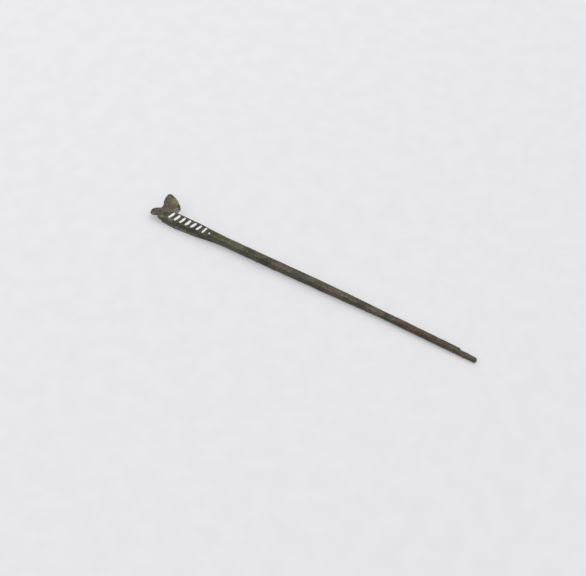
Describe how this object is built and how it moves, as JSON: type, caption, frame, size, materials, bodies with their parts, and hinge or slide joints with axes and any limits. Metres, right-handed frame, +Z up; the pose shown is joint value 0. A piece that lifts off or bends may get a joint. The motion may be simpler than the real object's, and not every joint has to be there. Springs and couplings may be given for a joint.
{
  "type": "hat pin",
  "caption": "Old bronze hat pin with a square-to-round tapering stem, a thick flat-bottomed neck and a soldered two-petal head plate, lying on its side.",
  "frame": {"origin": "middle of the neck's flat underside, which lies on the table", "axes": "+X along the stem from the head to the point, +Z up from the table, -Z out of the neck's flat underside"},
  "size_m": [0.109, 0.0077, 0.0049],
  "materials": {
    "stem_bronze": "patinated bronze, dark olive brown, satin",
    "head_bronze": "patinated bronze with grey-green and red-brown mineral crust, matt",
    "solder": "old soft solder, dull grey",
    "varnish": "thin isolating varnish over dark bronze",
    "ink": "white drawing ink, dry"
  },
  "bodies": {
    "root": {"stem": "stem_bronze", "head_plate": "head_bronze", "solder_joint": "solder", "varnish_patch": "varnish", "ink_tick_1": "ink", "ink_tick_2": "ink", "ink_tick_3": "ink", "ink_tick_4": "ink", "ink_tick_5": "ink", "ink_tick_6": "ink", "ink_tick_7": "ink", "ink_dot": "ink"}
  },
  "joints": []
}
